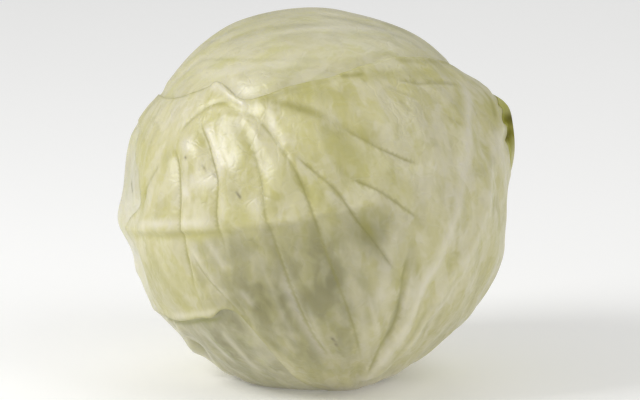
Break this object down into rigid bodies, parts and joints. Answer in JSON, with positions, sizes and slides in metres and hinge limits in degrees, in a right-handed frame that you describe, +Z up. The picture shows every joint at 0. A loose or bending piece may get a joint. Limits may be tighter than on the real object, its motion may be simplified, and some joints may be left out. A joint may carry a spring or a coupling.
{
  "type": "cabbage head",
  "caption": "Dense round head of white cabbage: wrapper leaves with waved margins, ribs and creases over a packed heart, on a cut stem.",
  "frame": {"origin": "on the resting surface, under the middle of the head's outline", "axes": "+Z up from the resting surface, -Y towards the front with the large front leaf, +X to the right as seen from the front"},
  "size_m": [0.1798, 0.1768, 0.168],
  "materials": {
    "front_leaf": "waxy pale green leaf, satin",
    "cap_leaf": "waxy pale green leaf, satin",
    "left_leaf": "waxy whitish leaf, satin",
    "right_leaf": "waxy pale green leaf, dark green at its margin",
    "heart": "smooth pale yellow inner leaves",
    "stem": "cut, slightly dry pith"
  },
  "bodies": {
    "root": {"front_leaf": "front_leaf", "cap_leaf": "cap_leaf", "left_leaf": "left_leaf", "right_leaf": "right_leaf", "heart": "heart", "stem": "stem"}
  },
  "joints": []
}
